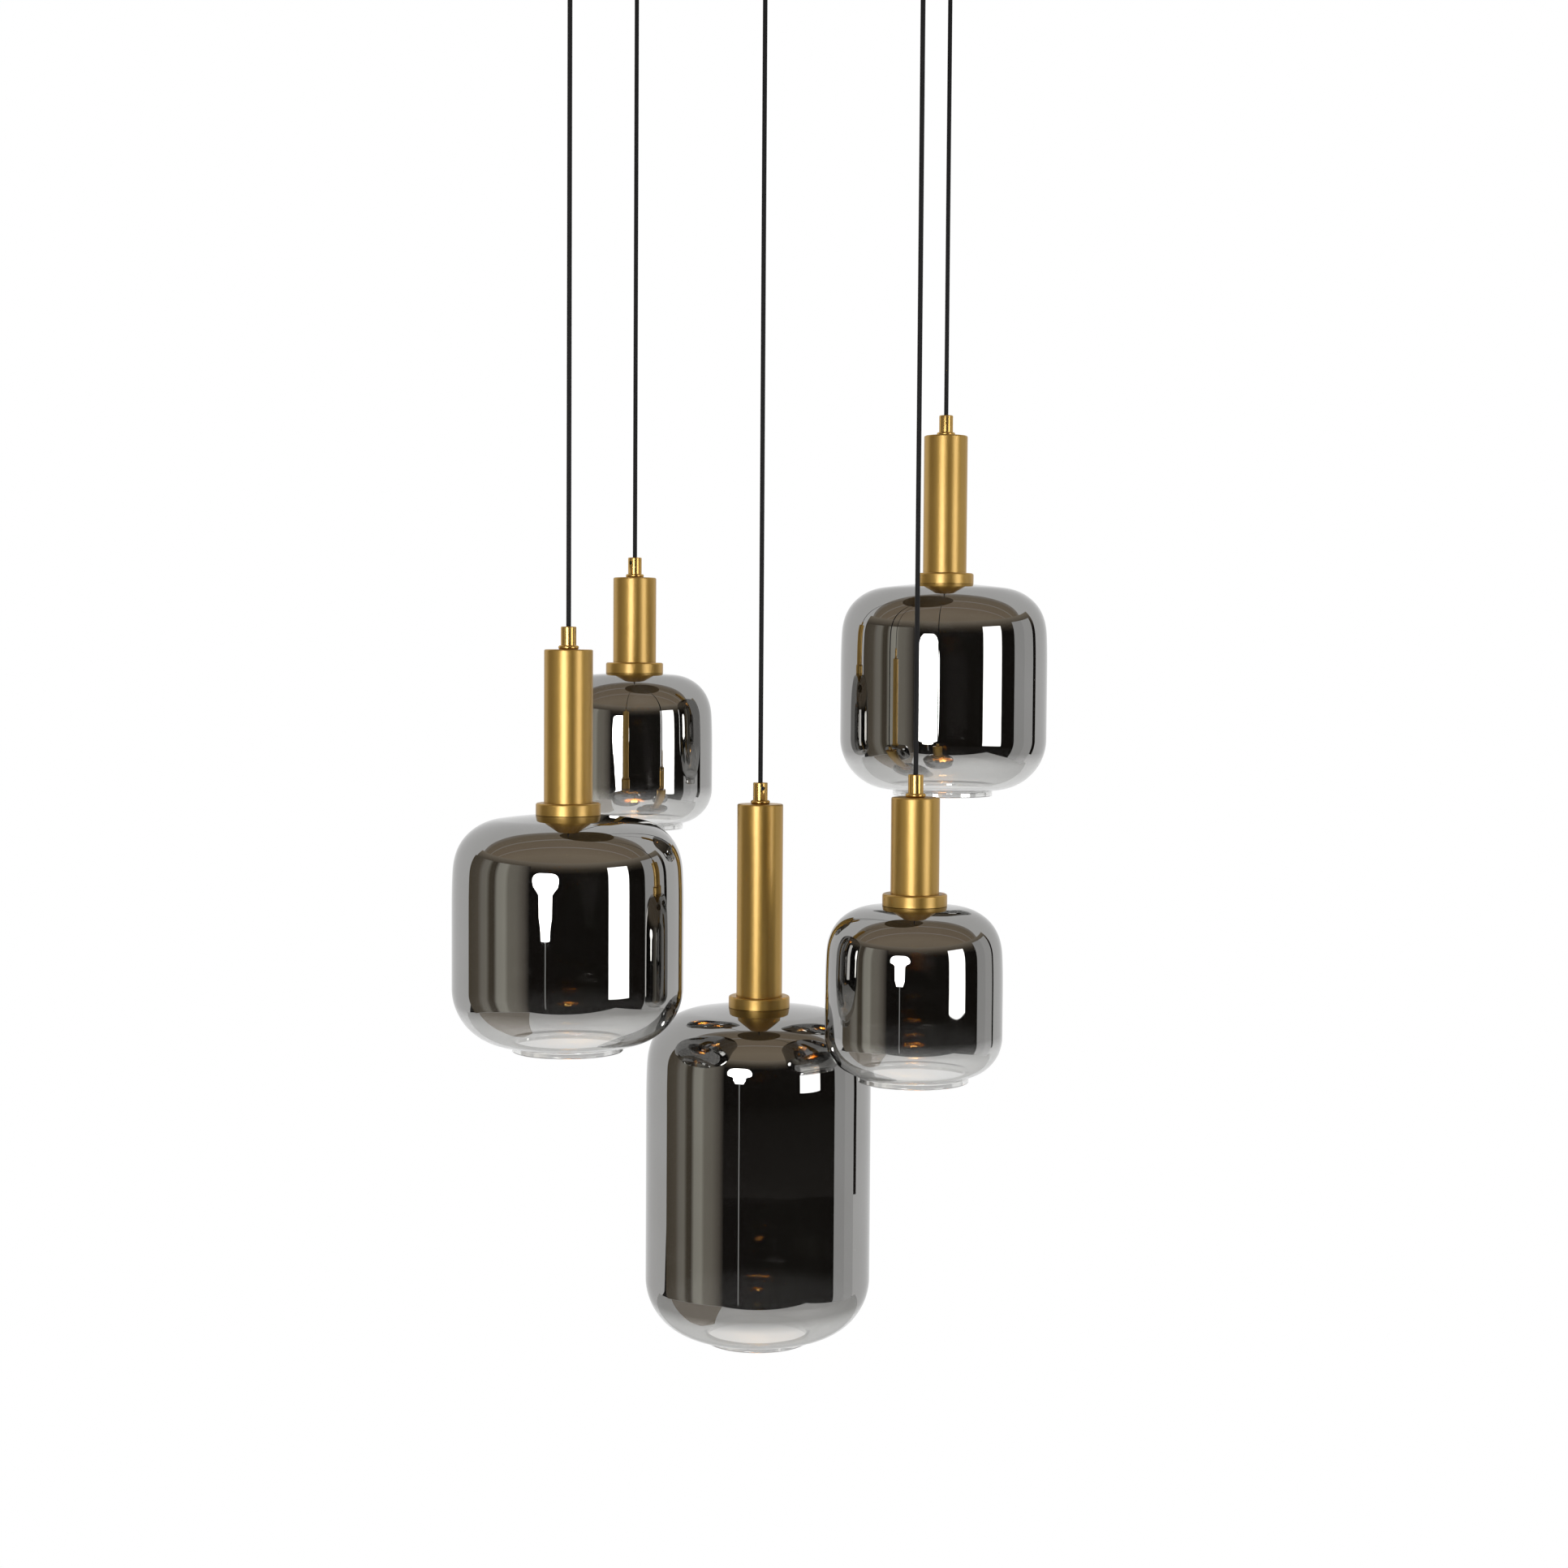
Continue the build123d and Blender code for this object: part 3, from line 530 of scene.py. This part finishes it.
# Lamp: ceramic foot with two pins, and the glowing capsule below it
def addLamp(name, drop):
    sizes = lampSizes
    top = levelsOf(drop)["holderFoot"] - lampGap
    spot = spotOf(drop)
    neck = top - sizes["baseHeight"]
    foot = top - sizes["height"]
    turn = sizes["radius"] - sizes["flat"]
    capsule = joinRuns(
        np.array([[0, foot]]),
        arcRun((sizes["flat"], foot + turn), turn, -90, 0, 5),
        straightRun((sizes["radius"], foot + turn), (sizes["radius"], neck)),
        straightRun((sizes["radius"], neck), (0, neck)),
    )
    glow = turnedMesh(f"lampCapsule_{name}", spot, capsule, 64, False, [warmLamp])
    base = joinRuns(
        straightRun((0, neck), (sizes["base"], neck)),
        straightRun((sizes["base"], neck), (sizes["base"], top)),
        straightRun((sizes["base"], top), (0, top)),
    )
    dress(glow, f"bulb_{name}", "warm_lamp", f"lamp_{name}")
    footing = turnedMesh(f"lampFoot_{name}", spot, base, 48, False, [whiteCeramic])
    dress(footing, f"bulb_{name}", "white_ceramic")
    for side in (-1, 1):
        place = spot + np.array([side * sizes["pinPitch"] / 2, 0])
        pin = joinRuns(
            straightRun((0, top), (sizes["pin"], top)),
            straightRun((sizes["pin"], top), (sizes["pin"], top + sizes["pinLength"])),
            straightRun((sizes["pin"], top + sizes["pinLength"]), (0, top + sizes["pinLength"])),
        )
        thing = turnedMesh(f"lampPin{side + 2}_{name}", place, pin, 16, False, [zincSteel])
        dress(thing, f"bulb_{name}", "zinc_steel")


for dropName, dropSizes in drops.items():
    addShade(dropName, dropSizes)
    addTube(dropName, dropSizes)
    addCollar(dropName, dropSizes)
    addRing(dropName, dropSizes)
    addLamp(dropName, dropSizes)
print("drops dressed")


# Canopy: a shallow round pan, open towards the ceiling, in a dark bronze with painted shade
def addCanopy():
    sizes = canopySizes
    radius, wall, edge, foot = sizes["radius"], sizes["wall"], sizes["edge"], -sizes["depth"]
    profile = joinRuns(
        straightRun((0, foot), (radius - edge, foot)),
        arcRun((radius - edge, foot + edge), edge, -90, 0, 6),
        straightRun((radius, foot + edge), (radius, 0)),
        straightRun((radius, 0), (radius - wall, 0)),
        straightRun((radius - wall, 0), (radius - wall, foot + edge)),
        arcRun((radius - edge, foot + edge), edge - wall, 0, -90, 6),
        straightRun((radius - edge, foot + wall), (0, foot + wall)),
    )
    thing = turnedMesh("brassCanopy", (0, 0), profile, 224, False, [bronzeWithPaintedShade])
    return dress(thing, "ceiling", "bronzed_brass", "canopy")


addCanopy()
print("canopy turned")


# Nodes whose shape stays: each gets its finish, and round brass ones a smooth copy
keptFinishes = {
    "ceiling_bracket": zincSteel, "side_screws": polishedBrass, "gland_nuts": zincSteel,
    "gland_screws": zincSteel, "inner_leads": blackSheath, "terminal_block": whitePlastic,
    "terminal_screws": polishedBrass, "earth_screw": polishedBrass,
}
for dropName in drops:
    keptFinishes[f"grip_screw_{dropName}"] = darkSteel
    keptFinishes[f"stem_{dropName}"] = zincSteel
    keptFinishes[f"lampholder_{dropName}"] = whiteCeramic
for nodeName, finish in keptFinishes.items():
    nodes[nodeName].data.materials.clear()
    nodes[nodeName].data.materials.append(finish)


def smoothCopy(nodeName, newName, finish, body, slotName):
    # the node's own triangles with their shared corners merged, so that round faces shade smoothly
    mesh = nodes[nodeName].data.copy()
    mesh.name = newName
    work = bmesh.new()
    work.from_mesh(mesh)
    bmesh.ops.remove_doubles(work, verts=work.verts, dist=1e-6)
    work.to_mesh(mesh)
    work.free()
    mesh.materials.clear()
    mesh.materials.append(finish)
    mesh.shade_smooth()
    mesh.set_sharp_from_angle(angle=radians(25))
    thing = bpy.data.objects.new(newName, mesh)
    bpy.context.scene.collection.objects.link(thing)
    return dress(thing, body, slotName, nodeName)


smoothCopy("canopy_glands", "brassGlands", polishedBrass, "ceiling", "polished_brass")
for dropName in drops:
    gripNames = (f"cord_grip_{dropName}", f"brassGrip_{dropName}")
    smoothCopy(*gripNames, polishedBrass, f"pendant_{dropName}", "polished_brass")
for cord in cords:
    cord.data.materials.append(blackSheath)
print("kept nodes finished")


# Studio: pale floor, white surround, and the dark side of the room that the mirrors show
def emissionMaterial(name, strength, colour=(1, 1, 1)):
    material = bpy.data.materials.new(name)
    material.use_nodes = True
    tree = material.node_tree
    tree.nodes.clear()
    glow = addNode(tree, "ShaderNodeEmission", Strength=strength, Color=(*colour, 1))
    out = tree.nodes.new("ShaderNodeOutputMaterial")
    tree.links.new(glow.outputs["Emission"], out.inputs["Surface"])
    return material, tree, glow


def gridMesh(name, points, material):
    # a grid of points, rows by columns, joined into four-sided faces
    rows, columns = points.shape[:2]
    index = np.arange(rows * columns).reshape(rows, columns)
    faces = np.stack([index[:-1, :-1], index[:-1, 1:], index[1:, 1:], index[1:, :-1]], 2).reshape(-1, 4)
    mesh = bpy.data.meshes.new(name)
    mesh.from_pydata(points.reshape(-1, 3).tolist(), [], faces.tolist())
    mesh.shade_smooth()
    mesh.materials.append(material)
    thing = bpy.data.objects.new(name, mesh)
    bpy.context.scene.collection.objects.link(thing)
    return thing


def reflectionOnly(thing):
    thing.visible_camera = False
    thing.visible_diffuse = False
    thing.visible_shadow = False
    thing.visible_volume_scatter = False


def curvedWall(name, radius, fromBearing, toBearing, low, high, material):
    # part of an upright cylinder round the object; bearings run from the camera's side to the right
    angle = np.radians(np.linspace(fromBearing, toBearing, 60))
    height = np.linspace(low, high, 12)
    x = np.repeat((radius * np.sin(angle))[None, :], 12, 0)
    y = np.repeat((-radius * np.cos(angle))[None, :], 12, 0)
    z = np.repeat(height[:, None], 60, 1)
    reflectionOnly(gridMesh(name, np.stack([x, y, z], 2), material))


studio = {
    "floor": -2.6, "floorFront": -2.7, "floorBack": 1.9, "floorSide": 3.3, "ceiling": 2.2, "ceilingBack": 1.15,
    "wall": 6.0, "groundReach": 6.3, "groundBack": 1.5, "groundDrop": 0.01,
}
boardSizes = {
    "reach": 3.25, "lift": 0.005, "tone": (0.4, 0.355, 0.3),
    "rows": [(-2.6, -1.85), (-0.5, -0.8), (0.1, -0.9), (0.45, -3.0)],
}
roundLamp = {
    "centre": (-1.33, -3.98), "glow": 13.0, "stand": 0.04, "standGlow": 0.5, "rows": [
        (-0.22, 0.40), (-0.30, 0.66), (-0.45, 0.82), (-0.70, 0.92), (-0.92, 0.92), (-1.02, 0.84), (-1.09, 0.62),
        (-1.15, 0.46), (-1.40, 0.44), (-1.46, 0.32), (-1.48, 0.30),
    ],
}
tallPanel = {"left": (3.72, -4.05), "right": (4.98, -2.33), "low": -1.85, "high": 0.75, "glow": 4.2}
curtainSizes = {"from": -105, "to": -34, "radius": 3.3, "top": 0.15, "folds": [
    (0.0, (0.16, 0.13, 0.09)), (0.1, (0.17, 0.145, 0.11)), (0.2, (0.2, 0.17, 0.13)), (0.28, (0.38, 0.355, 0.31)),
    (0.36, (0.41, 0.385, 0.33)), (0.42, (0.13, 0.11, 0.08)), (0.49, (0.12, 0.1, 0.075)), (0.545, (0.58, 0.56, 0.49)),
    (0.66, (0.63, 0.61, 0.53)), (0.71, (0.38, 0.355, 0.3)), (0.83, (0.34, 0.315, 0.265)), (0.94, (0.18, 0.16, 0.135)),
    (1.0, (0.03, 0.026, 0.022)),
]}
sidePanels = {
    "roomPanel": {"from": 83, "to": 98, "glow": 0.7},
    "roomReturn": {"from": 98, "to": 113, "glow": 0.8},
}
panelSizes = {"radius": 3.2, "top": 0.3}
roomEnd = 119  # bearing of the room wall's right end


def glowAlong(name, axis, low, high, stops):
    # emission that changes with place along one axis, from low to high
    material, tree, glow = emissionMaterial(name, 1.0)
    split = tree.nodes.new("ShaderNodeSeparateXYZ")
    tree.links.new(objectCoordinates(tree), split.inputs["Vector"])
    level = tree.nodes.new("ShaderNodeMapRange")
    level.inputs["From Min"].default_value = low
    level.inputs["From Max"].default_value = high
    tree.links.new(split.outputs[axis], level.inputs["Value"])
    tone = rampOf(tree, level.outputs["Result"], stops)
    tree.links.new(tone.outputs["Color"], glow.inputs["Color"])
    return material


def greyCurtain():
    # emission by bearing: soft upright folds, the places being shares of the way from left to right
    material, tree, glow = emissionMaterial("greyCurtain", 1.0)
    split = tree.nodes.new("ShaderNodeSeparateXYZ")
    tree.links.new(objectCoordinates(tree, (1, -1, 1)), split.inputs["Vector"])
    bearing = addNode(tree, "ShaderNodeMath", operation="ARCTAN2")
    tree.links.new(split.outputs["X"], bearing.inputs[0])
    tree.links.new(split.outputs["Y"], bearing.inputs[1])
    share = tree.nodes.new("ShaderNodeMapRange")
    share.inputs["From Min"].default_value = radians(curtainSizes["from"])
    share.inputs["From Max"].default_value = radians(curtainSizes["to"])
    tree.links.new(bearing.outputs[0], share.inputs["Value"])
    tone = rampOf(tree, share.outputs["Result"], curtainSizes["folds"])
    tree.links.new(tone.outputs["Color"], glow.inputs["Color"])
    return material


def roomBand(name, radius, top, fromBearing, toBearing, material):
    curvedWall(name, radius, fromBearing, toBearing, studio["floor"], top, material)


def roomWalls():
    # near black lower down, rising to a dim brown at the ceiling; the curtain and two side panels in front
    wallTone = glowAlong("darkRoom", "Z", studio["floor"], studio["ceiling"], [
        (0.0, (0.03, 0.027, 0.024)), (0.1, (0.012, 0.01, 0.008)), (0.56, (0.015, 0.013, 0.011)),
        (0.7, (0.09, 0.075, 0.055)), (0.85, (0.26, 0.22, 0.17)), (1.0, (0.42, 0.36, 0.28)),
    ])
    curtain = curtainSizes
    roomBand("roomWall", studio["wall"], studio["ceiling"], curtain["from"], roomEnd, wallTone)
    roomBand("roomCurtain", curtain["radius"], curtain["top"], curtain["from"], curtain["to"], greyCurtain())
    for name, panel in sidePanels.items():
        tone = emissionMaterial(f"{name}Tone", panel["glow"])[0]
        roomBand(name, panelSizes["radius"], panelSizes["top"], panel["from"], panel["to"], tone)


roomWalls()


def darkGround():
    # black ground round the pale floor, a little below it
    reach, level = studio["groundReach"], studio["floor"] - studio["groundDrop"]
    points = np.array([[[x, y, level] for x in (-reach, reach)] for y in (-reach, studio["groundBack"])])
    black = emissionMaterial("blackGround", 1.0, (0.015, 0.013, 0.011))[0]
    reflectionOnly(gridMesh("darkGround", points, black))


def brownBoards():
    # boards at the left, just above the floor: from a circle inside the curtain to rows of distance and edge
    rows = np.array(boardSizes["rows"])
    depth = np.linspace(rows[0, 0], rows[-1, 0], 20)
    left = -np.sqrt(boardSizes["reach"] ** 2 - depth**2)
    x = np.stack([left, np.interp(depth, rows[:, 0], rows[:, 1])], 1)
    y = np.repeat(depth[:, None], 2, 1)
    sheet = np.stack([x, y, np.full_like(x, studio["floor"] + boardSizes["lift"])], 2)
    reflectionOnly(gridMesh("brownBoards", sheet, emissionMaterial("boardTone", 1.0, boardSizes["tone"])[0]))


darkGround()
brownBoards()


def roomCeiling():
    # a sheet above the camera's side, with pale strips across it
    reach, back = studio["wall"], studio["ceilingBack"]
    material = glowAlong("roomCeiling", "Y", -reach, back, [
        (0.0, (0.38, 0.31, 0.23)), (0.4, (0.43, 0.35, 0.255)), (0.62, (0.38, 0.3, 0.215)), (0.63, (0.6, 0.55, 0.5)),
        (0.645, (0.37, 0.29, 0.21)), (0.8, (0.36, 0.285, 0.2)), (0.81, (0.58, 0.54, 0.5)),
        (0.825, (0.35, 0.28, 0.2)), (0.93, (0.33, 0.27, 0.2)), (1.0, (0.5, 0.46, 0.42)),
    ])
    x, y = np.meshgrid(np.linspace(-reach, reach, 12), np.linspace(-reach, back, 12))
    sheet = np.stack([x, y, np.full_like(x, studio["ceiling"])], 2)
    reflectionOnly(gridMesh("roomCeilingSheet", sheet, material))


roomCeiling()


def uprightSheet(name, centre, across, rows, material):
    # rows of height and half width, one above the other, to either side of an upright line through centre
    points = [[centre + (0, 0, z) - across * half, centre + (0, 0, z) + across * half] for z, half in rows]
    reflectionOnly(gridMesh(name, np.array(points), material))


def softBoxes():
    # a round lamp on a stand at the left, and a tall panel at the right
    lamp, tall = roundLamp, tallPanel
    centre = np.array([*lamp["centre"], 0.0])
    across = np.array([-centre[1], centre[0], 0]) / np.linalg.norm(centre)
    stand = [(lamp["rows"][-1][0], lamp["stand"]), (studio["floor"], lamp["stand"])]
    uprightSheet("roundLamp", centre, across, lamp["rows"], emissionMaterial("lampGlow", lamp["glow"])[0])
    uprightSheet("lampStand", centre, across, stand, emissionMaterial("standGlow", lamp["standGlow"])[0])
    panel = np.array([[(*tall[side], z) for side in ("left", "right")] for z in (tall["low"], tall["high"])])
    reflectionOnly(gridMesh("tallPanel", panel, emissionMaterial("tallGlow", tall["glow"])[0]))


softBoxes()


def paleFloor():
    material, tree, shader = newMaterial("paleFloor", {"Base Color": (0.9, 0.9, 0.89, 1), "Roughness": 0.7})
    cloud = addNode(tree, "ShaderNodeTexNoise", Scale=3.0, Detail=3.0)
    tree.links.new(objectCoordinates(tree), cloud.inputs["Vector"])
    tone = rampOf(tree, cloud.outputs["Fac"], [(0.3, (0.88, 0.88, 0.87)), (0.7, (0.92, 0.92, 0.91))])
    tree.links.new(tone.outputs["Color"], shader.inputs["Base Color"])
    side, front = studio["floorSide"], studio["floorFront"]
    x, y = np.meshgrid(np.linspace(-side, side, 24), np.linspace(front, studio["floorBack"], 30))
    gridMesh("paleFloorSheet", np.stack([x, y, np.full_like(x, studio["floor"])], 2), material)


paleFloor()


def whiteSurround():
    # white where the camera, metal or glass looks, softer where it only gives light
    world = bpy.data.worlds.new("whiteSurround")
    bpy.context.scene.world = world
    world.use_nodes = True
    tree = world.node_tree
    tree.nodes.clear()
    rays = tree.nodes.new("ShaderNodeLightPath")
    seen = addNode(tree, "ShaderNodeMath", operation="ADD", use_clamp=True)
    tree.links.new(rays.outputs["Is Camera Ray"], seen.inputs[0])
    tree.links.new(rays.outputs["Is Glossy Ray"], seen.inputs[1])
    more = addNode(tree, "ShaderNodeMath", operation="ADD", use_clamp=True)
    tree.links.new(seen.outputs[0], more.inputs[0])
    tree.links.new(rays.outputs["Is Transmission Ray"], more.inputs[1])
    strength = tree.nodes.new("ShaderNodeMapRange")
    strength.inputs["To Min"].default_value = 0.75
    strength.inputs["To Max"].default_value = 1.0
    tree.links.new(more.outputs[0], strength.inputs["Value"])
    surround = addNode(tree, "ShaderNodeBackground", Color=(1, 1, 1, 1))
    tree.links.new(strength.outputs["Result"], surround.inputs["Strength"])
    out = tree.nodes.new("ShaderNodeOutputWorld")
    tree.links.new(surround.outputs["Background"], out.inputs["Surface"])


whiteSurround()


softLights = {
    "leftLight": {"place": (-1.4, -2.6, -0.3), "size": (1.4, 1.4)},
    "rightLight": {"place": (2.1, -1.5, -1.0), "size": (1.4, 2.0)},
}
lightAim = (0, 0, -0.9)
lightPower = 18.0


def addSoftLight(name, place, size):
    data = bpy.data.lights.new(name, "AREA")
    data.shape = "RECTANGLE"
    data.size, data.size_y = size
    data.energy = lightPower
    thing = bpy.data.objects.new(name, data)
    bpy.context.scene.collection.objects.link(thing)
    turn = (Vector(lightAim) - Vector(place)).to_track_quat("-Z", "Y").to_matrix().to_4x4()
    thing.matrix_world = Matrix.Translation(place) @ turn
    thing.visible_glossy = False
    thing.visible_transmission = False


for lightName, light in softLights.items():
    addSoftLight(lightName, **light)

bpy.context.scene.view_settings.view_transform = "Standard"
print("studio ready")
